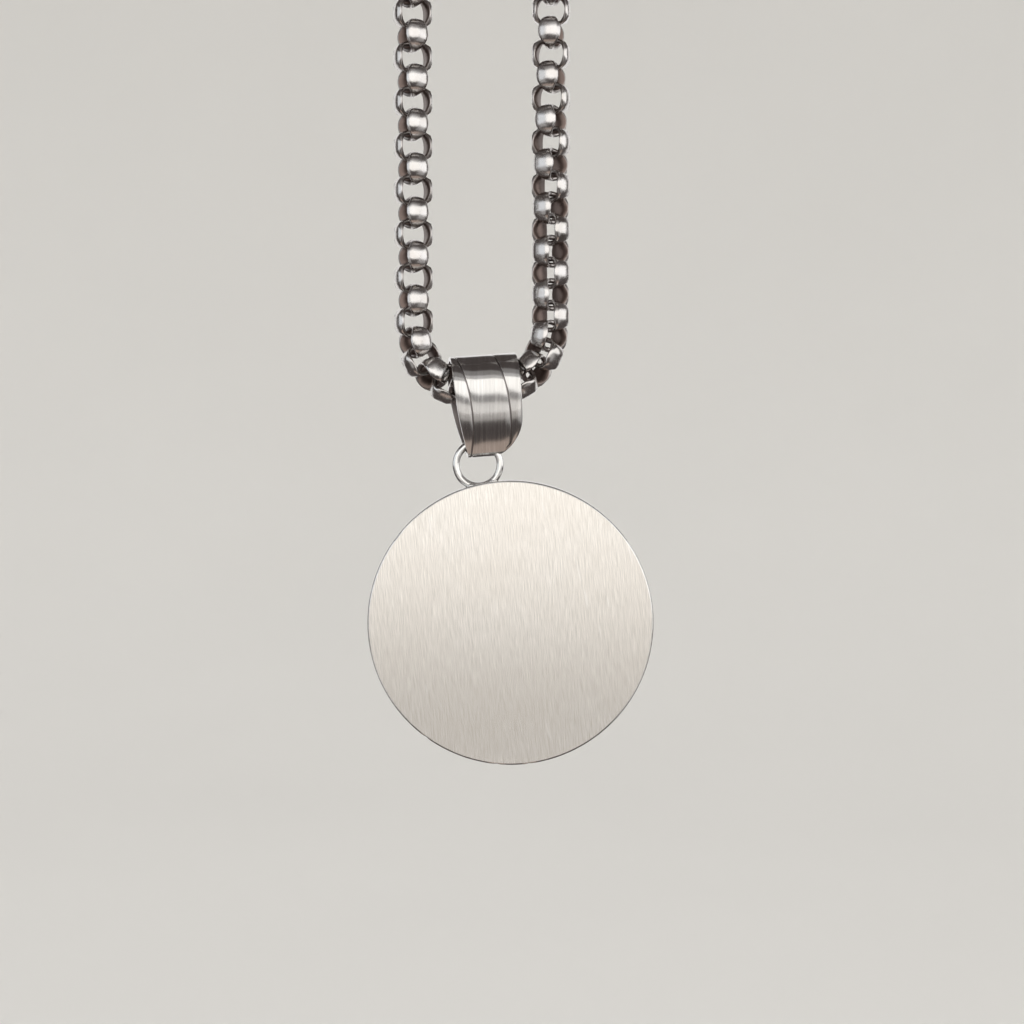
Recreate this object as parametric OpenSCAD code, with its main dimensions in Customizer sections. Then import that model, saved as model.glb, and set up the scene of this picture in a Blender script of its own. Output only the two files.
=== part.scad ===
// Round steel pendant on a folded bail and a round box chain, hanging as a closed loop.
// Millimetres. The origin is where the loop hangs, on the inner side of its top bend.
// +X is to the right, +Z is up, and the face of the disc looks along -Y.

/* [Disc] */
// Diameter of the disc
disc_d = 30; // [24:0.5:34]
// Thickness of the disc
disc_t = 2; // [1.6:0.1:2.6]
// Width of the bevel round both faces
disc_bevel = 0.3; // [0.1:0.05:0.5]

/* [Ear ring] */
// Hole in the ring that is soldered on the disc's edge
ear_hole_d = 3.8; // [3.6:0.1:4]
// Thickness of the ring's round wire
ear_wire = 0.8; // [0.7:0.05:0.9]
// Height of the ring's centre above the disc's edge
ear_rise = 2; // [1.8:0.05:2.2]
// How far the disc hangs out of plumb, in degrees
pendant_lean = 11.5; // [0:0.5:15]

/* [Bail] */
// Widest part of the bail
bail_w = 6.95; // [6:0.05:7.4]
// Thickness of the folded strip
bail_strip = 0.5; // [0.45:0.05:0.6]
// Radius of the passage for the chain
bail_passage_r = 2.7; // [2.65:0.05:2.8]
// Radius inside the fold that holds the ear ring
bail_fold_r = 0.8; // [0.75:0.05:0.9]
// Radius of the curve of its front and back, seen from the side
bail_leaf_r = 12; // [11.5:0.5:20]
// Distance from the passage's axis to the lowest point of the bail
bail_drop = 7.4; // [7.2:0.1:8]
// Radius of the bail's curved left edge, seen from the front
bail_left_r = 32; // [28:1:40]
// Radius of its rounded lower right corner
bail_right_r = 4.4; // [4:0.1:4.8]
// Distance between the two grooves
groove_gap = 3.95; // [3.5:0.05:4.2]
// Radius of the grooves' slight curve, seen from the front
groove_bow_r = 22; // [20:1:40]
// Width of each groove
groove_w = 0.18; // [0.12:0.02:0.24]
// Depth of each groove
groove_depth = 0.12; // [0.08:0.02:0.16]
// Rise of the chain's run through the bail, in degrees
run_lean = 4; // [0:1:5]

/* [Chain] */
// Outer width of a link
link_w = 4; // [3.9:0.05:4]
// Outer length of a link
link_l = 3.46; // [3.4:0.02:3.48]
// Thickness of a link's ends
link_wall = 0.54; // [0.51:0.01:0.55]
// Thickness of a link's sides
link_side = 0.55; // [0.45:0.01:0.58]
// Width of the strip that a link is bent from
link_strip = 2.4; // [2:0.1:2.4]
// Outer corner radius of a link
link_corner = 1.25; // [1.1:0.05:1.3]
// Corner radius of a link's window
window_corner = 0.45; // [0.4:0.05:0.6]
// Radius of the bow in a link's sides
link_bow_r = 2.2; // [2.15:0.05:2.4]
// Radius of the bow in a link's ends
end_bow_r = 2.5; // [2.4:0.05:2.8]
// Radius of the strip's edges, which draw it in towards the link's ends
link_edge_r = 2; // [1.8:0.05:2.05]
// Distance from link to link on a straight strand
link_pitch = 2.24; // [2.22:0.01:2.26]
// Distance from link to link in the bail
run_pitch = 2.1; // [2:0.05:2.15]
// Radius of the lower left corner, at the middle of the chain
left_corner_r = 5.86; // [5.8:0.02:6]
// Radius of the lower right corner
right_corner_r = 6.4; // [6.3:0.05:6.5]
// Links in the straight strand on the right
right_links = 98; // [60:1:100]
// Turn of the whole loop about its hanging line, in degrees
loop_turn = 8; // [0:1:8]

/* [Clasp] */
// Length of the plain clasp
clasp_l = 12; // [10:0.5:14]
// Width of the strip that it is cut from
clasp_strip = 1.8; // [1.6:0.1:1.9]
// Extra reach of the clasp's eyes, so that the end links hang loose in them
clasp_play = 0.12; // [0.1:0.02:0.2]

/* [Hidden] */
$fn = 48;

steel = [0.72, 0.70, 0.67];
bright_steel = [0.80, 0.79, 0.77];
chain_steel = [0.66, 0.63, 0.61];

// Chain sizes that follow from the driving ones
chain_r = link_w / 2;
link_facets = 12;
window_w = link_w - 2 * link_side;
window_l = link_l - 2 * link_wall;

// The loop is walked from the clasp's lower end, down the left strand, through the bail,
// up the right strand and over the top, back to the clasp's upper end. All its turns go
// the same way. Strands stand either side of the origin.
run_links = 1;
corner_links = 5;
top_links = 12;
left_turn = 90 + run_lean;
right_turn = 90 - run_lean;
top_turn = 180;
left_reach = left_corner_r * (1 + sin(run_lean));
right_reach = right_corner_r * (1 - sin(run_lean));
run_l = run_links * run_pitch;
strand_x = (left_reach + run_l * cos(run_lean) + right_reach) / 2;

// A bend's links are chords of its circle.
function chord(r, turn, n) = 2 * r * sin(turn / n / 2);

// The left strand ends lower than the right one, and the clasp takes up some of it.
foot_rise = run_l * sin(run_lean) + (right_corner_r - left_corner_r) * cos(run_lean);
right_strand = right_links * link_pitch;
left_strand = right_strand + foot_rise - clasp_l;
left_links = round(left_strand / link_pitch);

// One row for each stretch of the loop: number of links, length of each link's step,
// turn over the whole stretch
STEPS = 0;
LENGTH = 1;
TURN = 2;
stretches = [
    [left_links, left_strand / left_links, 0],
    [corner_links, chord(left_corner_r, left_turn, corner_links), left_turn],
    [run_links, run_pitch, 0],
    [corner_links, chord(right_corner_r, right_turn, corner_links), right_turn],
    [right_links, link_pitch, 0],
    [top_links, chord(strand_x, top_turn, top_links), top_turn],
];

// Step lengths and headings, one for each link. A bend turns half a share at each end.
step_length = [for (s = stretches) for (i = [0 : s[STEPS] - 1]) s[LENGTH]];
function turns_before(k) = k == 0 ? 0 : turns_before(k - 1) + stretches[k - 1][TURN];
heading = [
    for (k = [0 : len(stretches) - 1])
        let (s = stretches[k])
        for (i = [0 : s[STEPS] - 1])
            -90 + turns_before(k) + s[TURN] * (i + 0.5) / s[STEPS]
];
link_count = len(heading);

// The joints between links, as running sums of the steps
joint = [
    for (
        i = 0, p = [-strand_x, 0];
        i <= link_count;
        p = i < link_count ? p + step_length[i] * [cos(heading[i]), sin(heading[i])] : p,
        i = i + 1
    ) p
];
// The walk starts at the height of the clasp's lower end.
top_z = chain_r - strand_x;
start_z = top_z - clasp_l;
run_index = left_links + corner_links;
run_middle = (joint[run_index] + joint[run_index + run_links]) / 2;

// The chain is rolled about its own axis: link number, degrees. The hidden stretch makes up
// a quarter turn, so that the last link stands square to the clasp's eye.
roll_table = [
    [0, 0],
    [20, -12],
    [run_index - 7, -12],
    [run_index + 5, -52],
    [run_index + 10, -50],
    [run_index + 20, -12],
    [run_index + 24, -8],
    [link_count - 1, -90],
];

// Bail sizes that follow from the driving ones. Its lower fold is a smaller round.
bail_top_r = bail_passage_r + bail_strip;
bail_low_r = bail_fold_r + bail_strip;
bail_reach = bail_drop - bail_low_r;
// Its left edge reaches furthest left at one height, and the grooves furthest right at
// another. The grooves lie a little right of the middle.
bow_z = 1.5;
groove_bow_z = -4;
groove_shift = 0.27;
// The passage's axis lies a little above the chain's, so the bail hangs close on it.
bail_lift = 0.33;
bail_at = [run_middle[0] - bail_lift * sin(run_lean), 0,
    run_middle[1] + start_z + bail_lift * cos(run_lean)];

// The ear ring hangs in the fold, left of the bail's middle, its centre below the fold.
ear_gap = 0.12;
ear_r = (ear_hole_d + ear_wire) / 2;
ear_shift = 1.2;
ear_below_fold = 0.75;
ear_drop = bail_drop + ear_below_fold;
disc_drop = disc_d / 2 + ear_rise;

// Whatever is drawn in the loop's plane, and in the bail's own frame on the chain's axis
module in_loop() {
    rotate([0, 0, loop_turn]) children();
}

module at_bail() {
    in_loop() translate(bail_at) rotate([0, -run_lean, 0]) children();
}

// The ear ring's centre, from the bail's frame
function turned_y(p, a) = [p[0] * cos(a) + p[2] * sin(a), p[1], -p[0] * sin(a) + p[2] * cos(a)];
function turned_z(p, a) = [p[0] * cos(a) - p[1] * sin(a), p[0] * sin(a) + p[1] * cos(a), p[2]];
ear_in_bail = turned_y([-ear_shift, 0, -ear_drop], -run_lean);
ear_at = turned_z(bail_at + ear_in_bail, loop_turn);

module at_ear() {
    translate(ear_at) rotate([0, -pendant_lean, 0]) children();
}

// A ring of round wire in the XZ plane
module wire_ring(r, wire_r) {
    rotate([90, 0, 0]) rotate_extrude($fn = 72) translate([r, 0]) circle(wire_r, $fn = 32);
}

// Rectangle with round corners, from squares and circles
module round_rect(w, l, r) {
    square([w - 2 * r, l], center = true);
    square([w, l - 2 * r], center = true);
    for (x = [-1, 1], y = [-1, 1])
        translate([x * (w / 2 - r), y * (l / 2 - r)]) circle(r);
}

// Side outline of the bail: a round over the chain, a small round below, and between them
// a lens whose two large arcs run smoothly into both
module drop_outline(top_r, low_r, leaf_r) {
    top_reach = leaf_r - top_r;
    low_reach = leaf_r - low_r;
    arc_z = (low_reach * low_reach - top_reach * top_reach - bail_reach * bail_reach)
        / (2 * bail_reach);
    arc_x = sqrt(top_reach * top_reach - arc_z * arc_z);
    upper_z = -top_r * arc_z / top_reach;
    lower_z = -bail_reach - low_r * (bail_reach + arc_z) / low_reach;
    circle(top_r, $fn = 96);
    translate([0, -bail_reach]) circle(low_r);
    intersection() {
        translate([-top_r, lower_z]) square([2 * top_r, upper_z - lower_z]);
        translate([arc_x, arc_z]) circle(leaf_r, $fn = 240);
        translate([-arc_x, arc_z]) circle(leaf_r, $fn = 240);
    }
}

// The drop outline as a band along the chain's axis, between two depths under its skin
module drop_band(width, from, to) {
    rotate([90, 0, 90])
        linear_extrude(width, center = true)
            difference() {
                drop_outline(bail_top_r - from, bail_low_r - from, bail_leaf_r - from);
                drop_outline(bail_top_r - to, bail_low_r - to, bail_leaf_r - to);
            }
}

// Front outline of the bail: a large arc on the left, and a straight edge on the right that
// ends in a rounded corner
module bail_front() {
    round_z = 0.905 * bail_right_r - bail_drop;
    rotate([90, 0, 0])
        linear_extrude(4 * bail_top_r, center = true)
            intersection() {
                translate([bail_left_r - bail_w / 2, bow_z]) circle(bail_left_r, $fn = 360);
                union() {
                    translate([-bail_w / 2 - 1, round_z])
                        square([bail_w + 1, 2 * bail_top_r - round_z]);
                    translate([bail_w / 2 - bail_right_r, round_z])
                        circle(bail_right_r, $fn = 120);
                }
            }
}

// A groove round the bail, in line with a large arc that bows to the right
module groove(x) {
    intersection() {
        drop_band(bail_w, -1, groove_depth);
        rotate([90, 0, 0])
            linear_extrude(4 * bail_top_r, center = true)
                translate([x - groove_bow_r, groove_bow_z])
                    difference() {
                        circle(groove_bow_r + groove_w / 2, $fn = 360);
                        circle(groove_bow_r - groove_w / 2, $fn = 360);
                    }
    }
}

module disc() {
    color(steel)
        at_ear() {
            wire_ring(ear_r, ear_wire / 2);
            translate([0, 0, -disc_drop])
                rotate([90, 0, 0])
                    rotate_extrude($fn = 180)
                        polygon([
                            [0, -disc_t / 2],
                            [disc_d / 2 - disc_bevel, -disc_t / 2],
                            [disc_d / 2, disc_bevel - disc_t / 2],
                            [disc_d / 2, disc_t / 2 - disc_bevel],
                            [disc_d / 2 - disc_bevel, disc_t / 2],
                            [0, disc_t / 2],
                        ]);
        }
}

module bail() {
    color(bright_steel)
        difference() {
            at_bail()
                difference() {
                    intersection() {
                        drop_band(bail_w, 0, bail_strip);
                        bail_front();
                    }
                    for (side = [-1, 1]) groove(groove_shift + side * groove_gap / 2);
                }
            // Room for the ear ring, which turns in it
            at_ear() wire_ring(ear_r, ear_wire / 2 + ear_gap);
        }
}

// Two arcs meeting above and below, a given half width from the middle. Few sides make
// them facets.
module bowed(half_w, r, sides = 96) {
    intersection_for (side = [-1, 1])
        translate([side * (r - half_w), 0]) circle(r, $fn = sides);
}

// A round rod as long as a link, with a few facets, one of them to either side
module faceted_rod(r, l) {
    half_facet = 180 / link_facets;
    rotate([0, 0, half_facet])
        cylinder(l, r = r / cos(half_facet), center = true, $fn = link_facets);
}

// Outline of a link: round corners, bowed sides and bowed ends
module link_outline() {
    intersection() {
        round_rect(link_w, link_l, link_corner);
        bowed(link_w / 2, link_bow_r);
        rotate([0, 0, 90]) bowed(link_l / 2, end_bow_r);
    }
}

// Outline of its window, whose ends are straight
module link_window() {
    intersection() {
        round_rect(window_w, window_l, window_corner);
        bowed(window_w / 2, link_bow_r - link_side);
    }
}

// One link lying along Z: a strip bent to a frame. Facets along its sides make the chain
// round, and the strip is drawn in towards the link's ends, so that the chain can bend.
module link() {
    intersection() {
        rotate([90, 0, 0])
            linear_extrude(link_strip, center = true)
                difference() {
                    link_outline();
                    link_window();
                }
        rotate([90, 0, 90])
            linear_extrude(link_w + 1, center = true)
                bowed(link_strip / 2, link_edge_r, link_facets);
        faceted_rod(chain_r, link_l + 1);
    }
}

// Links number first to last of the loop, each turned a quarter from the one before
module links(first, last) {
    for (i = [first : last])
        let (middle = (joint[i] + joint[i + 1]) / 2)
            translate([middle[0], 0, middle[1] + start_z])
                rotate([0, 90 - heading[i], 0])
                    rotate([0, 0, 90 * (i % 2) + lookup(i, roll_table)])
                        link();
}

module chain_left() {
    color(chain_steel) in_loop() links(0, run_index);
}

module chain_right() {
    color(chain_steel) in_loop() links(run_index + 1, link_count - 1);
}

// A plain bar in the strand, with an eye at each end for the last link
module clasp() {
    reach = clasp_l + link_l - link_pitch + clasp_play;
    eye_w = link_w - 2 * link_wall;
    color(chain_steel)
        in_loop()
            translate([-strand_x, 0, top_z - clasp_l / 2])
                intersection() {
                    rotate([90, 0, 90])
                        linear_extrude(clasp_strip, center = true)
                            difference() {
                                round_rect(link_w, reach, link_corner);
                                for (end = [-1, 1])
                                    translate([0, end * (reach - link_l) / 2])
                                        round_rect(eye_w, window_l, window_corner);
                            }
                    cylinder(reach + 1, r = chain_r, center = true);
                }
}

disc();
bail();
chain_left();
chain_right();
clasp();
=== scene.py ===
import math

import bmesh
import bpy
from mathutils import Matrix, Vector


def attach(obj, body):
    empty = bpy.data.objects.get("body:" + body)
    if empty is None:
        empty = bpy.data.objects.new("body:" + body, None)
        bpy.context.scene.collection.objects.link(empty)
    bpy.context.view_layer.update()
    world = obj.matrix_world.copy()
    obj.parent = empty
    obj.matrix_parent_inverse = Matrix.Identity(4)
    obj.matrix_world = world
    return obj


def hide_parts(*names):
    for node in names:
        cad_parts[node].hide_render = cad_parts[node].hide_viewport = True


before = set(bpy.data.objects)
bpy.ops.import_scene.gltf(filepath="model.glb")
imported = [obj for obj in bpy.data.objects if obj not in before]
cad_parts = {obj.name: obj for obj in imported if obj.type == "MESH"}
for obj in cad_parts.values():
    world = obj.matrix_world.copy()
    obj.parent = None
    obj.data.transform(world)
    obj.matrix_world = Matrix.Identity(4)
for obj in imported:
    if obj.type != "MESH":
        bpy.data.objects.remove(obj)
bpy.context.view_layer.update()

# Sizes are in millimetres, as in the solids, and meshes are made in metres.
MM = 0.001
# Points nearer than WELD are made one, and a cut's faces thinner than SLIVER are closed up
WELD, SLIVER = 1e-5, 0.001

# Chain: one closed loop in a plane, walked link by link from the clasp's lower end
LINK_W, LINK_L, STRIP_W = 4.0, 3.46, 2.4
SIDE_WALL, END_WALL, WINDOW_CORNER = 0.55, 0.54, 0.45
LINK_CORNER, LINK_BOW_R, END_BOW_R, STRIP_BOW_R = 1.25, 2.2, 2.5, 2.0
PITCH, RUN_PITCH = 2.24, 2.1
LEFT_CORNER_R, RIGHT_CORNER_R = 5.86, 6.4
RUN_LINKS, CORNER_LINKS, TOP_LINKS, RIGHT_LINKS = 1, 5, 12, 98
RUN_LEAN, LOOP_TURN, CLASP_L = 4.0, 8.0, 12.0
# Links this near the bail are the finely made ones
FINE_LINKS = 42
# Each size of a link with its name in the link row nodes and its axis on a lying link
LINK_SIZES = (
    ("Link width", "X", LINK_W),
    ("Strip width", "Y", STRIP_W),
    ("Link length", "Z", LINK_L),
)

# Bail
BAIL_W, BAIL_STRIP, PASSAGE_R, FOLD_R = 6.95, 0.5, 2.7, 0.8
BAIL_DROP, LEAF_R, BAIL_LEFT_R, BAIL_RIGHT_R = 7.4, 12.0, 32.0, 4.4
BAIL_LIFT, BOW_Z = 0.33, 1.5
# The lower right corner's rounding starts at this height
ROUND_Z = 0.905 * BAIL_RIGHT_R - BAIL_DROP
BAIL_EDGE_SOFT = 0.1
GROOVE_GAP, GROOVE_SHIFT, GROOVE_DEPTH = 3.95, 0.27, 0.12
GROOVE_BOW_R, GROOVE_BOW_Z = 22.0, -4.0
# Near an edge a groove fades out: it is gone at GROOVE_MARGIN from it, and full GROOVE_FADE
# further in. Its middle keeps GROOVE_HOLD from the edge, so that its points stay on the strip
GROOVE_MARGIN, GROOVE_FADE, GROOVE_HOLD = 0.12, 0.2, 0.4
# Across a groove: place from its middle, share of its depth, and how dull it is, which also sets
# its painted shade
GROOVE_PROFILE = (
    (-0.15, 0.0, 0.0),
    (-0.08, 0.15, 0.0),
    (-0.035, 1.0, 0.8),
    (0.035, 1.0, 0.8),
    (0.08, 0.15, 0.0),
    (0.15, 0.0, 0.0),
)

# Ear ring and disc
EAR_R, EAR_WIRE, EAR_SHIFT, EAR_BELOW_FOLD, EAR_GAP = 2.3, 0.8, 1.2, 0.75, 0.12
DISC_D, DISC_T, DISC_BEVEL, EAR_RISE, PENDANT_LEAN = 30.0, 2.0, 0.3, 2.0, 11.5
# Rounded bevel: how far in from the disc's rim and from its face, in bevels
BEVEL_PROFILE = ((0.6, 0.0), (0.3, 0.1), (0.08, 0.35), (0.0, 0.7))
# Small nicks in the rim: degrees round from the right, and depth
RIM_NICKS = {222: 0.10, 253: 0.07, 266: 0.05, 131: 0.04, 20: 0.03}
NICK_HALF_DEGREES = 1.6
# Solder beads at the ear ring's legs: place across, and reach along X, Y and Z
SOLDER_BEADS = ((-1.15, (0.62, 0.5, 0.36)), (1.2, (0.5, 0.46, 0.3)))


def turn(axis, degrees):
    return Matrix.Rotation(math.radians(degrees), 4, axis)


def shift(x, y, z):
    return Matrix.Translation(Vector((x, y, z)))


LOOP = turn("Z", LOOP_TURN)


def chain_walk():
    """Middle and heading of every link in the loop's plane, and the run's first link."""
    lean = math.radians(RUN_LEAN)
    run = RUN_LINKS * RUN_PITCH
    left_turn, right_turn = 90 + RUN_LEAN, 90 - RUN_LEAN
    strand_x = (
        LEFT_CORNER_R * (1 + math.sin(lean))
        + run * math.cos(lean)
        + RIGHT_CORNER_R * (1 - math.sin(lean))
    ) / 2
    foot_rise = run * math.sin(lean) + (RIGHT_CORNER_R - LEFT_CORNER_R) * math.cos(lean)
    left_length = RIGHT_LINKS * PITCH + foot_rise - CLASP_L
    left_links = round(left_length / PITCH)

    def chord(radius, degrees, steps):
        return 2 * radius * math.sin(math.radians(degrees / steps / 2))

    stretches = [
        (left_links, left_length / left_links, 0),
        (CORNER_LINKS, chord(LEFT_CORNER_R, left_turn, CORNER_LINKS), left_turn),
        (RUN_LINKS, RUN_PITCH, 0),
        (CORNER_LINKS, chord(RIGHT_CORNER_R, right_turn, CORNER_LINKS), right_turn),
        (RIGHT_LINKS, PITCH, 0),
        (TOP_LINKS, chord(strand_x, 180, TOP_LINKS), 180),
    ]
    x, z, turned, walked = -strand_x, LINK_W / 2 - strand_x - CLASP_L, 0, []
    for steps, length, degrees in stretches:
        for i in range(steps):
            heading = -90 + turned + degrees * (i + 0.5) / steps
            dx = length * math.cos(math.radians(heading))
            dz = length * math.sin(math.radians(heading))
            walked.append(((x + dx / 2, z + dz / 2), heading))
            x, z = x + dx, z + dz
        turned += degrees
    return walked, left_links + CORNER_LINKS


WALK, RUN_INDEX = chain_walk()


def roll_of(index):
    """How far the chain is rolled about its own axis at a link, in degrees."""
    # Link numbers with the roll there, which changes evenly in between
    knots = [
        (0, 0),
        (20, -12),
        (RUN_INDEX - 7, -12),
        (RUN_INDEX + 5, -52),
        (RUN_INDEX + 10, -50),
        (RUN_INDEX + 20, -12),
        (RUN_INDEX + 24, -8),
        (len(WALK) - 1, -90),
    ]
    for (a, low), (b, high) in zip(knots, knots[1:]):
        if index <= b:
            return low + (high - low) * (index - a) / (b - a)
    return knots[-1][1]


def link_place(index):
    """Where a link sits: turned a quarter from its neighbours, and rolled."""
    (x, z), heading = WALK[index]
    return (
        LOOP
        @ shift(x, 0, z)
        @ turn("Y", 90 - heading)
        @ turn("Z", 90 * (index % 2) + roll_of(index))
    )


RUN_MIDDLE = WALK[RUN_INDEX][0]
LEAN_IN_PLANE = math.radians(RUN_LEAN)
BAIL_PLACE = (
    LOOP
    @ shift(
        RUN_MIDDLE[0] - BAIL_LIFT * math.sin(LEAN_IN_PLANE),
        0,
        RUN_MIDDLE[1] + BAIL_LIFT * math.cos(LEAN_IN_PLANE),
    )
    @ turn("Y", -RUN_LEAN)
)
EAR_AT = BAIL_PLACE @ Vector((-EAR_SHIFT, 0, -BAIL_DROP - EAR_BELOW_FOLD))
PENDANT_PLACE = Matrix.Translation(EAR_AT) @ turn("Y", -PENDANT_LEAN)
DISC_DROP = DISC_D / 2 + EAR_RISE


# ---- Materials ----


class Finish:
    """A material's node tree with short calls for the nodes that the finishes share."""

    def __init__(self, name, base, roughness, metallic=1.0):
        self.material = bpy.data.materials.new(name)
        self.material.use_nodes = True
        self.tree = self.material.node_tree
        self.shader = next(n for n in self.tree.nodes if n.type == "BSDF_PRINCIPLED")
        self.shader.inputs["Metallic"].default_value = metallic
        self.shader.inputs["Base Color"].default_value = (*base, 1)
        self.shader.inputs["Roughness"].default_value = roughness
        self.coords = self.tree.nodes.new("ShaderNodeTexCoord")

    def link(self, out, socket):
        """Joins an output to a socket."""
        self.tree.links.new(out, socket)

    def mapped(self, drawn_out=(1, 1, 1), lean=0):
        """Object coordinates, drawn out along each axis and leaning to the right."""
        node = self.tree.nodes.new("ShaderNodeMapping")
        node.vector_type = "TEXTURE"
        node.inputs["Scale"].default_value = drawn_out
        node.inputs["Rotation"].default_value = (0, math.radians(lean), 0)
        self.link(self.coords.outputs["Object"], node.inputs["Vector"])
        return node.outputs["Vector"]

    def noise(self, vector, scale, detail=3.0, roughness=0.5):
        """Noise with this many grains to the metre, more or less."""
        node = self.tree.nodes.new("ShaderNodeTexNoise")
        node.inputs["Scale"].default_value = scale
        node.inputs["Detail"].default_value = detail
        node.inputs["Roughness"].default_value = roughness
        self.link(vector, node.inputs["Vector"])
        return node.outputs["Fac"]

    def spread(self, value, between, to=(0, 1)):
        """What lies between two limits, spread evenly from one result to another."""
        node = self.tree.nodes.new("ShaderNodeMapRange")
        for name, number in zip(("From Min", "From Max", "To Min", "To Max"), (*between, *to)):
            node.inputs[name].default_value = number
        self.link(value, node.inputs["Value"])
        return node.outputs["Result"]

    def maths(self, operation, a, b):
        """One operation on two outputs, or on an output and a number."""
        node = self.tree.nodes.new("ShaderNodeMath")
        node.operation = operation
        for socket, value in zip(node.inputs, (a, b)):
            if isinstance(value, (int, float)):
                socket.default_value = value
            else:
                self.link(value, socket)
        return node.outputs["Value"]

    def mix(self, factor, a, b):
        """Colour a where the factor is 0, and b where it is 1."""
        node = self.tree.nodes.new("ShaderNodeMix")
        node.data_type = "RGBA"
        self.link(factor, node.inputs["Factor"])
        for socket, value in ((node.inputs[6], a), (node.inputs[7], b)):
            if isinstance(value, tuple):
                socket.default_value = (*value, 1)
            else:
                self.link(value, socket)
        return node.outputs[2]

    def attribute(self, name):
        """A value that the mesh holds at its points."""
        node = self.tree.nodes.new("ShaderNodeAttribute")
        node.attribute_name = name
        return node.outputs["Fac"]

    def bump(self, height, distance_mm, strength):
        """Relief too fine for the mesh."""
        node = self.tree.nodes.new("ShaderNodeBump")
        node.inputs["Distance"].default_value = distance_mm * MM
        node.inputs["Strength"].default_value = strength
        self.link(height, node.inputs["Height"])
        self.link(node.outputs["Normal"], self.shader.inputs["Normal"])

    def colour(self, out):
        """Gives the surface its colour."""
        self.link(out, self.shader.inputs["Base Color"])

    def rough(self, out):
        """Gives the surface its roughness."""
        self.link(out, self.shader.inputs["Roughness"])


def brushed_face_steel():
    """Warm pale steel with short, fine, nearly upright brush strokes and a few scratches."""
    dull_stroke, bright_stroke = (0.69, 0.655, 0.60), (0.91, 0.875, 0.82)
    cloud_tone, scratch_tone = (0.77, 0.72, 0.65), (0.93, 0.91, 0.88)
    fine_share, coarse_share, scratch_share, scratch_depth = 0.65, 0.35, 0.4, 0.25
    f = Finish("brushed_face_steel", (0.80, 0.765, 0.71), roughness=0.22)
    fine = f.noise(f.mapped((1, 1, 28), lean=-5), scale=15000, detail=2, roughness=0.6)
    coarse = f.noise(f.mapped((1, 1, 24), lean=-4), scale=9500, detail=3, roughness=0.6)
    cloud = f.noise(f.mapped(), scale=110, detail=2)
    stray = f.noise(f.mapped((1, 1, 9), lean=-11), scale=2100, detail=1)
    scratch = f.spread(stray, between=(0.72, 0.78))
    lines = f.maths(
        "ADD",
        f.maths("MULTIPLY", fine, fine_share),
        f.maths("MULTIPLY", coarse, coarse_share),
    )
    tone = f.mix(f.spread(lines, between=(0.37, 0.63)), dull_stroke, bright_stroke)
    tone = f.mix(f.spread(cloud, between=(0.3, 0.7), to=(0, 0.35)), tone, cloud_tone)
    f.colour(f.mix(f.maths("MULTIPLY", scratch, scratch_share), tone, scratch_tone))
    f.rough(f.spread(lines, between=(0.3, 0.7), to=(0.245, 0.21)))
    relief = f.maths("SUBTRACT", lines, f.maths("MULTIPLY", scratch, scratch_depth))
    f.bump(relief, distance_mm=0.004, strength=0.2)
    return f.material


def polished_rim_steel():
    """Bright steel of the bevel, the disc's edge and the ear ring."""
    worn, fresh = (0.76, 0.75, 0.72), (0.88, 0.87, 0.85)
    f = Finish("polished_rim_steel", (0.82, 0.81, 0.79), roughness=0.2)
    wear = f.noise(f.mapped(), scale=900)
    f.colour(f.mix(f.spread(wear, between=(0.35, 0.65)), worn, fresh))
    f.rough(f.spread(wear, between=(0.3, 0.7), to=(0.16, 0.28)))
    f.bump(f.noise(f.mapped(), scale=2500, detail=2), distance_mm=0.02, strength=0.15)
    return f.material


def polished_bail_steel():
    """Polished strip with very faint lines up and down it, dull inside and in its grooves, with
    painted shade there.
    """
    low_line, high_line = (0.68, 0.67, 0.65), (0.79, 0.78, 0.76)
    stain_tone, painted_shade_tone = (0.62, 0.58, 0.54), (0.26, 0.23, 0.22)
    dull_roughness = 0.25
    f = Finish("polished_bail_steel", (0.74, 0.73, 0.71), roughness=0.15)
    lines = f.noise(f.mapped((1, 30, 30)), scale=6500, detail=2)
    stains = f.noise(f.mapped(), scale=260)
    tone = f.mix(f.spread(lines, between=(0.35, 0.65)), low_line, high_line)
    tone = f.mix(f.spread(stains, between=(0.45, 0.75), to=(0, 0.4)), tone, stain_tone)
    dull = f.attribute("dull")
    # Painted shade: the strip's inside and the groove bottoms are coloured dark.
    f.colour(f.mix(dull, tone, painted_shade_tone))
    polish = f.spread(lines, between=(0.3, 0.7), to=(0.13, 0.18))
    f.rough(f.maths("ADD", polish, f.maths("MULTIPLY", dull, dull_roughness)))
    f.bump(lines, distance_mm=0.003, strength=0.2)
    return f.material


def chain_link_steel():
    """Polished links, a little softer than the bail, with painted shade in the nooks inside them.
    """
    worn, fresh, painted_nook_shade = (0.68, 0.65, 0.62), (0.80, 0.78, 0.76), (0.22, 0.17, 0.15)
    nook_roughness = 0.15
    f = Finish("chain_link_steel", (0.72, 0.69, 0.67), roughness=0.25)
    wear = f.noise(f.mapped(), scale=700)
    nook = f.attribute("nook")
    bright = f.mix(f.spread(wear, between=(0.35, 0.65)), worn, fresh)
    # Painted shade: the faces inside each link's window are coloured dark brown.
    f.colour(f.mix(nook, bright, painted_nook_shade))
    polish = f.spread(wear, between=(0.3, 0.7), to=(0.20, 0.30))
    f.rough(f.maths("ADD", polish, f.maths("MULTIPLY", nook, nook_roughness)))
    f.bump(f.noise(f.mapped(), scale=2200, detail=2), distance_mm=0.02, strength=0.15)
    return f.material


FACE_STEEL = brushed_face_steel()
RIM_STEEL = polished_rim_steel()
BAIL_STEEL = polished_bail_steel()
LINK_STEEL = chain_link_steel()


# ---- Mesh helpers ----


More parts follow.
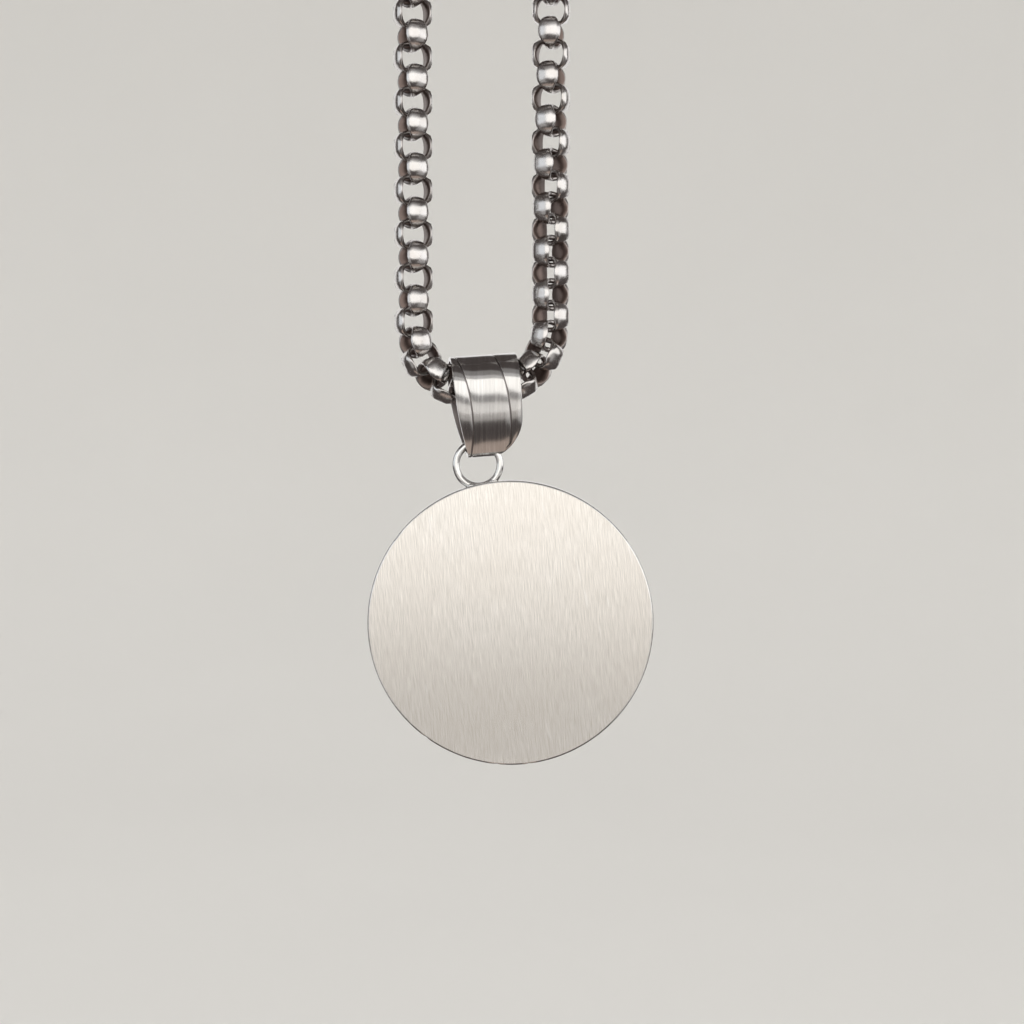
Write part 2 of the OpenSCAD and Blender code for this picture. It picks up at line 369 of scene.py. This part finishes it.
def mesh_piece(name, bm, place, materials):
    """Turns a bmesh in millimetres into an object in metres, in the row's frame."""
    bmesh.ops.remove_doubles(bm, verts=bm.verts, dist=WELD)
    bmesh.ops.recalc_face_normals(bm, faces=bm.faces)
    mesh = bpy.data.meshes.new(name)
    bm.to_mesh(mesh)
    bm.free()
    mesh.transform(Matrix.Scale(MM, 4) @ place)
    for material in materials:
        mesh.materials.append(material)
    piece = bpy.data.objects.new(name, mesh)
    bpy.context.scene.collection.objects.link(piece)
    return piece


def soft_shade(piece, sharp_degrees, flat_index=None):
    """Smooth faces, sharp where two meet steeply, with slivers closed up. One material's
    faces may stay flat."""
    bm = bmesh.new()
    bm.from_mesh(piece.data)
    bmesh.ops.triangulate(bm, faces=[f for f in bm.faces if len(f.verts) > 4])
    bmesh.ops.dissolve_degenerate(bm, edges=bm.edges, dist=SLIVER * MM)
    for face in bm.faces:
        face.smooth = face.material_index != flat_index
    for edge in bm.edges:
        steep = len(edge.link_faces) == 2 and edge.calc_face_angle(0) > math.radians(sharp_degrees)
        edge.smooth = not steep
    bm.to_mesh(piece.data)
    bm.free()


def settled(piece, name):
    """The piece with its modifiers worked into a plain mesh, under its final name."""
    view = bpy.context.evaluated_depsgraph_get()
    mesh = bpy.data.meshes.new_from_object(
        piece.evaluated_get(view), preserve_all_data_layers=True, depsgraph=view
    )
    made = bpy.data.objects.new(name, mesh)
    bpy.context.scene.collection.objects.link(made)
    bpy.data.objects.remove(piece)
    return made


def combine(piece, other, operation):
    """Cuts or joins another closed piece, which is then gone."""
    modifier = piece.modifiers.new("combine", "BOOLEAN")
    modifier.operation, modifier.object, modifier.solver = operation, other, "EXACT"
    bpy.context.view_layer.update()
    name = piece.name
    piece.name = name + "_raw"
    made = settled(piece, name)
    bpy.data.objects.remove(other)
    return made


def ring_bmesh(radius, wire_r, around=128, section=24):
    """A ring of round wire in the XZ plane."""
    bm = bmesh.new()
    rows = []
    for i in range(around):
        a = 2 * math.pi * i / around
        row = []
        for j in range(section):
            b = 2 * math.pi * j / section
            reach = radius + wire_r * math.cos(b)
            at = (reach * math.cos(a), wire_r * math.sin(b), reach * math.sin(a))
            row.append(bm.verts.new(at))
        rows.append(row)
    close_grid(bm, rows)
    return bm


def close_grid(bm, rows, material_index=0):
    """Faces between rows of a surface that closes both ways."""
    for i, row in enumerate(rows):
        after = rows[(i + 1) % len(rows)]
        for j in range(len(row)):
            k = (j + 1) % len(row)
            face = bm.faces.new((row[j], row[k], after[k], after[j]))
            face.material_index = material_index


# ---- Chain links ----


def outline_reach(direction, half_w, half_l, corner, bow_r, end_bow_r=None, halvings=40):
    """How far a link's outline, or its window's, is from its middle in a direction."""
    cx, cz = abs(direction[0]), abs(direction[1])
    low, high = 0.0, half_w + half_l
    for _ in range(halvings):
        t = (low + high) / 2
        x, z = t * cx, t * cz
        inside = math.hypot(x + bow_r - half_w, z) <= bow_r
        if end_bow_r:
            inside = inside and math.hypot(x, z + end_bow_r - half_l) <= end_bow_r
        past_x, past_z = max(x - half_w + corner, 0), max(z - half_l + corner, 0)
        if inside and math.hypot(past_x, past_z) <= corner:
            low = t
        else:
            high = t
    return low


def link_form(name, around, section):
    """One link lying along Z. section lists points round the strip: across it, and into it."""
    # The painted nook shade sets in this far through the strip
    nook_shade_from = 2 / 7
    dome_r, least_wall = LINK_W / 2, 0.03
    bm = bmesh.new()
    # Painted shade at each point: none on the skin, full on the window's faces
    nook = bm.verts.layers.float.new("nook")
    rows = []
    for i in range(around):
        u = 2 * math.pi * (i + 0.5) / around
        d = Vector((LINK_W * math.cos(u), LINK_L * math.sin(u))).normalized()
        outer = outline_reach(d, LINK_W / 2, LINK_L / 2, LINK_CORNER, LINK_BOW_R, END_BOW_R)
        inner = outline_reach(
            d,
            LINK_W / 2 - SIDE_WALL,
            LINK_L / 2 - END_WALL,
            WINDOW_CORNER,
            LINK_BOW_R - SIDE_WALL,
        )
        row = []
        for across, into in section:
            z_outer = outer * abs(d[1])
            half = STRIP_W / 2 - STRIP_BOW_R + math.sqrt(STRIP_BOW_R**2 - z_outer**2)
            y = across * half
            x_outer = math.copysign(min(outer * abs(d[0]), math.sqrt(dome_r**2 - y * y)), d[0])
            x_inner = math.copysign(min(inner * abs(d[0]), abs(x_outer) - least_wall), d[0])
            x = x_outer + (x_inner - x_outer) * into
            z = (outer + (inner - outer) * into) * d[1]
            vert = bm.verts.new((x, y, z))
            vert[nook] = max(0.0, (into - nook_shade_from) / (1 - nook_shade_from))
            row.append(vert)
        rows.append(row)
    close_grid(bm, rows)
    bmesh.ops.recalc_face_normals(bm, faces=bm.faces)
    for face in bm.faces:
        face.smooth = True
    mesh = bpy.data.meshes.new(name)
    bm.to_mesh(mesh)
    bm.free()
    mesh.transform(Matrix.Scale(MM, 4))
    return bpy.data.objects.new(name, mesh)


# Points round the strip of a link: across it, and into it from its skin to the window
FINE_SECTION = [
    (-0.6, 0.0),
    (0.0, 0.0),
    (0.6, 0.0),
    (0.93, 0.08),
    (1.0, 0.5),
    (0.9, 1.0),
    (-0.9, 1.0),
    (-1.0, 0.5),
    (-0.93, 0.08),
]
PLAIN_SECTION = [(-0.95, 0.0), (0.0, 0.0), (0.95, 0.0), (0.95, 1.0), (-0.95, 1.0)]


def link_row_tree():
    """Geometry nodes that set a link on every point of a row and make it one mesh."""
    tree = bpy.data.node_groups.new("link_row", "GeometryNodeTree")
    sockets = tree.interface
    sockets.new_socket("Row", in_out="INPUT", socket_type="NodeSocketGeometry")
    sockets.new_socket("Link", in_out="INPUT", socket_type="NodeSocketObject")
    for label, _, size in LINK_SIZES:
        socket = sockets.new_socket(label, in_out="INPUT", socket_type="NodeSocketFloat")
        socket.default_value = size * MM
    sockets.new_socket("Steel", in_out="INPUT", socket_type="NodeSocketMaterial")
    sockets.new_socket("Chain", in_out="OUTPUT", socket_type="NodeSocketGeometry")

    start = tree.nodes.new("NodeGroupInput")
    end = tree.nodes.new("NodeGroupOutput")
    link_object = tree.nodes.new("GeometryNodeObjectInfo")
    row_turn = tree.nodes.new("GeometryNodeInputNamedAttribute")
    row_turn.data_type = "FLOAT_VECTOR"
    row_turn.inputs["Name"].default_value = "link_turn"
    rotation = tree.nodes.new("FunctionNodeEulerToRotation")
    sizes = tree.nodes.new("ShaderNodeCombineXYZ")
    for label, axis, size in LINK_SIZES:
        share = tree.nodes.new("ShaderNodeMath")
        share.operation = "DIVIDE"
        share.inputs[1].default_value = size * MM
        tree.links.new(start.outputs[label], share.inputs[0])
        tree.links.new(share.outputs[0], sizes.inputs[axis])
    rows = tree.nodes.new("GeometryNodeInstanceOnPoints")
    real = tree.nodes.new("GeometryNodeRealizeInstances")
    steel = tree.nodes.new("GeometryNodeSetMaterial")
    tree.links.new(start.outputs["Link"], link_object.inputs["Object"])
    tree.links.new(row_turn.outputs["Attribute"], rotation.inputs["Euler"])
    tree.links.new(start.outputs["Row"], rows.inputs["Points"])
    tree.links.new(link_object.outputs["Geometry"], rows.inputs["Instance"])
    tree.links.new(rotation.outputs["Rotation"], rows.inputs["Rotation"])
    tree.links.new(sizes.outputs["Vector"], rows.inputs["Scale"])
    tree.links.new(rows.outputs["Instances"], real.inputs["Geometry"])
    tree.links.new(real.outputs["Geometry"], steel.inputs["Geometry"])
    tree.links.new(start.outputs["Steel"], steel.inputs["Material"])
    tree.links.new(steel.outputs["Geometry"], end.inputs["Chain"])
    return tree


LINK_ROW = link_row_tree()
SOCKET = {s.name: s.identifier for s in LINK_ROW.interface.items_tree if s.in_out == "INPUT"}


def link_row(name, indices, link_object):
    """A mesh of the links with these numbers, made by the link row nodes."""
    points = bpy.data.meshes.new(name + "_row")
    places = [link_place(i) for i in indices]
    points.from_pydata([p.translation * MM for p in places], [], [])
    turns = points.attributes.new("link_turn", "FLOAT_VECTOR", "POINT")
    for item, place in zip(turns.data, places):
        item.vector = place.to_euler("XYZ")
    row = bpy.data.objects.new(name + "_row", points)
    bpy.context.scene.collection.objects.link(row)
    modifier = row.modifiers.new("link_row", "NODES")
    modifier.node_group = LINK_ROW
    modifier[SOCKET["Link"]] = link_object
    for label, _, size in LINK_SIZES:
        modifier[SOCKET[label]] = size * MM
    modifier[SOCKET["Steel"]] = LINK_STEEL
    bpy.context.view_layer.update()
    return settled(row, name)


def joined(name, pieces):
    """Several meshes as one piece."""
    bm = bmesh.new()
    for piece in pieces:
        bm.from_mesh(piece.data)
    mesh = bpy.data.meshes.new(name)
    bm.to_mesh(mesh)
    bm.free()
    mesh.materials.append(LINK_STEEL)
    for piece in pieces:
        bpy.data.objects.remove(piece)
    made = bpy.data.objects.new(name, mesh)
    bpy.context.scene.collection.objects.link(made)
    return made


def chain_strand(name, indices, node):
    """One strand of the chain as a piece, fine near the bail and plain further off."""
    near = [i for i in indices if abs(i - RUN_INDEX) <= FINE_LINKS]
    far = [i for i in indices if abs(i - RUN_INDEX) > FINE_LINKS]
    strand = joined(
        name,
        [link_row(name + "_fine", near, fine_link), link_row(name + "_plain", far, plain_link)],
    )
    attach(strand, "chain")
    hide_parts(node)
    return strand


fine_link = link_form("fine_link", around=24, section=FINE_SECTION)
plain_link = link_form("plain_link", around=12, section=PLAIN_SECTION)
left_strand = chain_strand("chain_left_links", range(0, RUN_INDEX + 1), "chain_left")
right_strand = chain_strand("chain_right_links", range(RUN_INDEX + 1, len(WALK)), "chain_right")
bpy.data.objects.remove(fine_link)
bpy.data.objects.remove(plain_link)


# ---- Bail ----


def drop_outline():
    """Points and outward normals round the bail's side outline, in Y and Z."""
    top_r, low_r = PASSAGE_R + BAIL_STRIP, FOLD_R + BAIL_STRIP
    reach = BAIL_DROP - low_r
    top_reach, low_reach = LEAF_R - top_r, LEAF_R - low_r
    arc_z = (low_reach**2 - top_reach**2 - reach**2) / (2 * reach)
    arc_y = math.sqrt(top_reach**2 - arc_z**2)
    join_top = math.degrees(math.atan2(arc_y, -arc_z))
    join_low = math.degrees(math.atan2(arc_y, -reach - arc_z))
    front = []
    for centre, radius, start, stop, steps in (
        ((0, 0), top_r, 0, join_top, 30),
        ((arc_y, arc_z), LEAF_R, join_top, join_low, 30),
        ((0, -reach), low_r, join_low, 180, 14),
    ):
        for i in range(steps):
            a = math.radians(start + (stop - start) * i / steps)
            normal = (-math.sin(a), math.cos(a))
            front.append((
                (centre[0] + radius * normal[0], centre[1] + radius * normal[1]),
                normal,
            ))
    bottom = ((0.0, -reach - low_r), (0.0, -1.0))
    back = [((-p[0], p[1]), (-n[0], n[1])) for p, n in reversed(front[1:])]
    return front + [bottom] + back


def bowed_in(radius, from_z, z):
    """How far a large arc has drawn in at a height, from where it reaches furthest out."""
    return radius - math.sqrt(radius**2 - (z - from_z) ** 2)


def bail_limits(z):
    """Left and right edge of the bail at a height."""
    below = min(z - ROUND_Z, 0)
    left = -BAIL_W / 2 + bowed_in(BAIL_LEFT_R, BOW_Z, z)
    right = BAIL_W / 2 - BAIL_RIGHT_R + math.sqrt(BAIL_RIGHT_R**2 - below**2)
    return left, right


def strip_section(z):
    """Points round the strip at a height: across it, depth under its skin, and painted shade with
    dullness.
    """
    left, right = bail_limits(z)
    soft, halfway = BAIL_EDGE_SOFT, 0.3 * BAIL_EDGE_SOFT
    points = [(left, soft, 0), (left + halfway, halfway, 0), (left + soft, 0, 0)]
    grooves = []
    for side in (-1, 1):
        middle = GROOVE_SHIFT + side * GROOVE_GAP / 2 - bowed_in(GROOVE_BOW_R, GROOVE_BOW_Z, z)
        margin = min(middle - left, right - middle)
        share = min(max((margin - GROOVE_MARGIN) / GROOVE_FADE, 0), 1)
        held = min(max(middle, left + GROOVE_HOLD), right - GROOVE_HOLD)
        grooves.append((held, share))
    (first, _), (second, _) = grooves
    between = [(first + (second - first) * part, 0, 0) for part in (0.25, 0.5, 0.75)]
    for (middle, share), after in zip(grooves, (between, [])):
        points += [
            (middle + across, GROOVE_DEPTH * deep * share, dull * share)
            for across, deep, dull in GROOVE_PROFILE
        ]
        points += after
    points += [(right - soft, 0, 0), (right - halfway, halfway, 0), (right, soft, 0)]
    under, inner_w = BAIL_STRIP, right - left - 2 * soft
    # The strip's inside is dull, with full painted shade
    points += [(right, under - soft, 0), (right - halfway, under - halfway, 1)]
    points += [(right - soft - inner_w * part, under, 1) for part in (0, 0.2, 0.4, 0.6, 0.8, 1)]
    points += [(left + halfway, under - halfway, 1), (left, under - soft, 0)]
    return points


def make_bail():
    """The folded strip, with room for the ear ring in its fold."""
    bm = bmesh.new()
    # Painted shade and dullness of each point
    dull = bm.verts.layers.float.new("dull")
    rows = []
    for (y, z), (ny, nz) in drop_outline():
        row = []
        for x, depth, shade in strip_section(z):
            vert = bm.verts.new((x, y - depth * ny, z - depth * nz))
            vert[dull] = shade
            row.append(vert)
        rows.append(row)
    close_grid(bm, rows)
    bail = mesh_piece("folded_bail", bm, BAIL_PLACE, [BAIL_STEEL])
    room = mesh_piece(
        "ear_room", ring_bmesh(EAR_R, EAR_WIRE / 2 + EAR_GAP), PENDANT_PLACE, [BAIL_STEEL]
    )
    bail = combine(bail, room, "DIFFERENCE")
    soft_shade(bail, sharp_degrees=40)
    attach(bail, "bail")
    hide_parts("bail")


make_bail()


# ---- Disc with its soldered ear ring ----


def disc_bmesh(around=256):
    """The disc in the XZ plane, its face towards -Y; faces 0 brushed, 1 polished."""
    r, t = DISC_D / 2, DISC_T / 2
    # Reach from the middle, and depth from the middle plane, over the front half
    profile = [(r - inward * DISC_BEVEL, -t + deep * DISC_BEVEL) for inward, deep in BEVEL_PROFILE]
    profile += [(reach, -depth) for reach, depth in reversed(profile)]
    # A nick pulls in the front bevel's outer points
    nicked = (1, 2, 3)
    bm = bmesh.new()
    rows = []
    for i in range(around):
        degrees = 360 * i / around
        nick = max(
            depth * max(0, 1 - abs(degrees - at) / NICK_HALF_DEGREES)
            for at, depth in RIM_NICKS.items()
        )
        a = math.radians(degrees)
        row = []
        for j, (reach, depth) in enumerate(profile):
            pulled = reach - (nick if j in nicked else 0)
            row.append(bm.verts.new((pulled * math.cos(a), depth, pulled * math.sin(a))))
        rows.append(row)
    front, back = bm.verts.new((0, -t, 0)), bm.verts.new((0, t, 0))
    for i, row in enumerate(rows):
        after = rows[(i + 1) % around]
        for j in range(len(row) - 1):
            bm.faces.new((row[j], row[j + 1], after[j + 1], after[j])).material_index = 1
        bm.faces.new((front, row[0], after[0]))
        bm.faces.new((back, after[-1], row[-1]))
    return bm


def solder_bead(across, reach):
    """A small soft bead where a leg of the ear ring meets the disc's edge."""
    bm = bmesh.new()
    bmesh.ops.create_icosphere(bm, subdivisions=3, radius=1)
    foot = math.sqrt((DISC_D / 2) ** 2 - across**2) - DISC_DROP
    for vert in bm.verts:
        vert.co = vert.co * Vector(reach) + Vector((across, 0, foot))
    for face in bm.faces:
        face.material_index = 1
    return bm


def make_pendant():
    """The disc, its ear ring and the solder at the ring's foot, as one piece."""
    steels = [FACE_STEEL, RIM_STEEL]
    pendant = mesh_piece(
        "brushed_disc", disc_bmesh(), PENDANT_PLACE @ shift(0, 0, -DISC_DROP), steels
    )
    ring = ring_bmesh(EAR_R, EAR_WIRE / 2)
    for face in ring.faces:
        face.material_index = 1
    added = [ring] + [solder_bead(across, reach) for across, reach in SOLDER_BEADS]
    for number, bm in enumerate(added):
        other = mesh_piece(f"ear_part_{number}", bm, PENDANT_PLACE, steels)
        pendant = combine(pendant, other, "UNION")
    soft_shade(pendant, sharp_degrees=30, flat_index=0)
    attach(pendant, "pendant")
    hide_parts("disc")


make_pendant()

# The plain clasp keeps its solid.
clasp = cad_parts["clasp"]
clasp.data.materials.clear()
clasp.data.materials.append(LINK_STEEL)


# ---- Studio ----


def plain_material(name, colour, roughness):
    """Matt paint with a very faint cloud in it."""
    cloud_share = 0.985
    f = Finish(name, colour, roughness, metallic=0.0)
    cloud = f.noise(f.mapped(), scale=3, detail=2)
    darker = tuple(c * cloud_share for c in colour)
    f.colour(f.mix(f.spread(cloud, between=(0.3, 0.7)), darker, colour))
    return f.material


def make_floor():
    """A pale floor that curves up into a wall all round, and doesn't show in the steel."""
    foot_z, flat_r, curve_r, top, sides, curve_steps = -640, 1500, 1200, 2400, 96, 12
    profile = [(0.0, 0.0), (flat_r / 2, 0.0), (flat_r, 0.0)]
    for i in range(curve_steps):
        a = math.pi / 2 * (i + 1) / curve_steps
        profile.append((flat_r + curve_r * math.sin(a), curve_r * (1 - math.cos(a))))
    profile.append((flat_r + curve_r, top))
    bm = bmesh.new()
    rows = []
    for i in range(sides):
        a = 2 * math.pi * i / sides
        rows.append([bm.verts.new((r * math.cos(a), r * math.sin(a), z)) for r, z in profile])
    for i, row in enumerate(rows):
        after = rows[(i + 1) % sides]
        for j in range(len(row) - 1):
            bm.faces.new((row[j], after[j], after[j + 1], row[j + 1])).smooth = True
    paint = plain_material("pale_floor_paint", (0.78, 0.77, 0.75), roughness=0.9)
    floor = mesh_piece("pale_floor", bm, shift(0, 0, foot_z), [paint])
    if floor.data.polygons[0].normal.z < 0:
        floor.data.flip_normals()
    floor.visible_glossy = False
    return floor


def all_but(name, left_out):
    """What a softbox lights: everything but the objects that are left out."""
    lit = bpy.data.collections.new(name)
    for number, thing in enumerate(left_out):
        lit.objects.link(thing)
        lit.collection_objects[number].light_linking.link_state = "EXCLUDE"
    return lit


def make_world():
    """Pale for the eye and for matt things, and dim in the steel's reflections."""
    seen, reflected = (1.15, 1.14, 1.12, 1), (0.075, 0.064, 0.062, 1)
    world = bpy.data.worlds.new("studio")
    bpy.context.scene.world = world
    world.use_nodes = True
    tree = world.node_tree
    back = next(n for n in tree.nodes if n.type == "BACKGROUND")
    path = tree.nodes.new("ShaderNodeLightPath")
    tone = tree.nodes.new("ShaderNodeMix")
    tone.data_type = "RGBA"
    tone.inputs[6].default_value = seen
    tone.inputs[7].default_value = reflected
    tree.links.new(path.outputs["Is Glossy Ray"], tone.inputs["Factor"])
    tree.links.new(tone.outputs[2], back.inputs["Color"])


def softbox(name, lit, azimuth, elevation, distance, spread, brightness, colour):
    """An area light turned to the pendant. Azimuth 0 is in front and 90 is to the right;
    spread is the half angle that it fills, across and up."""
    a, e = math.radians(azimuth), math.radians(elevation)
    out = Vector((math.sin(a) * math.cos(e), -math.cos(a) * math.cos(e), math.sin(e)))
    light = bpy.data.lights.new(name, "AREA")
    light.shape = "RECTANGLE"
    light.size, light.size_y = [2 * distance * math.tan(math.radians(s)) for s in spread]
    light.color = colour
    light.energy = brightness * math.pi * light.size * light.size_y
    lamp = bpy.data.objects.new(name, light)
    lamp.location = LIT_POINT + out * distance
    lamp.rotation_euler = out.to_track_quat("Z", "Y").to_euler()
    lamp.visible_camera = False
    bpy.context.scene.collection.objects.link(lamp)
    lamp.light_linking.receiver_collection = lit


def make_camera():
    """Sets the disc at its place and size in the picture, seen from a little above."""
    lens, sensor, picture = 60.0, 36.0, 1024.0
    raised, disc_px, disc_at = 4.0, 285.0, (510.5, 622.5)
    a = math.radians(raised)
    ahead = Vector((0, math.cos(a), -math.sin(a)))
    right, up = Vector((1, 0, 0)), Vector((0, math.sin(a), math.cos(a)))
    focal_px = lens / sensor * picture
    distance = focal_px * DISC_D * MM / disc_px
    per_px = distance / focal_px
    disc_centre = (PENDANT_PLACE @ Vector((0, 0, -DISC_DROP))) * MM
    camera = bpy.data.objects.new("camera", bpy.data.cameras.new("camera"))
    camera.data.lens, camera.data.sensor_width = lens, sensor
    camera.location = (
        disc_centre
        - ahead * distance
        - right * (disc_at[0] - picture / 2) * per_px
        + up * (disc_at[1] - picture / 2) * per_px
    )
    camera.rotation_euler = (math.radians(90 - raised), 0, 0)
    camera.data.clip_start, camera.data.clip_end = 0.005, 20
    bpy.context.scene.collection.objects.link(camera)
    bpy.context.scene.camera = camera


# Between bail and disc, in metres
LIT_POINT = Vector((0, 0, -0.2355))
WHITE, WARM_WHITE, DAY_BLUE = (1, 1, 1), (1, 0.99, 0.97), (0.90, 0.95, 1)
LAMP_CREAM, LAMP_AMBER, LAMP_GLOW = (1, 0.975, 0.95), (1, 0.965, 0.93), (1, 0.80, 0.68)
floor = make_floor()
NECKLACE = all_but("all_but_floor", [floor])
PENDANT_AND_BAIL = all_but("all_but_floor_and_chain", [floor, left_strand, right_strand])

# What it lights, azimuth, elevation, distance in metres, half angles, brightness and colour
SOFTBOXES = {
    "key_softbox": (NECKLACE, 5, 9.0, 1.90, (38, 17.4), 1.34, WARM_WHITE),
    "upper_softbox": (NECKLACE, 3, 34, 0.42, (36, 6), 0.5, WHITE),
    "top_softbox": (NECKLACE, 0, 50, 0.50, (36, 9), 0.19, WHITE),
    "mid_softbox": (PENDANT_AND_BAIL, 0, -12.4, 1.10, (38, 3.6), 0.2, WHITE),
    "front_softbox": (PENDANT_AND_BAIL, 0, -22.4, 0.75, (38, 5.6), 0.8, LAMP_CREAM),
    "lower_softbox": (PENDANT_AND_BAIL, 0, -31.5, 0.36, (36, 5), 0.4, LAMP_AMBER),
    "low_softbox": (NECKLACE, 0, -74, 0.33, (30, 13), 0.36, LAMP_GLOW),
    "left_softbox": (NECKLACE, -67, 10, 0.45, (32, 17), 0.9, DAY_BLUE),
    "right_softbox": (NECKLACE, 76, 10, 0.45, (32, 17), 1.25, WHITE),
    "left_fill": (NECKLACE, -52, -22, 0.45, (18, 16), 0.3, WHITE),
    "right_fill": (NECKLACE, 52, -22, 0.45, (18, 16), 0.3, WHITE),
    "back_softbox": (NECKLACE, 180, 6, 0.80, (50, 30), 0.85, WHITE),
}

make_world()
for name, setting in SOFTBOXES.items():
    softbox(name, *setting)
make_camera()

bpy.context.scene.view_settings.view_transform = "Standard"
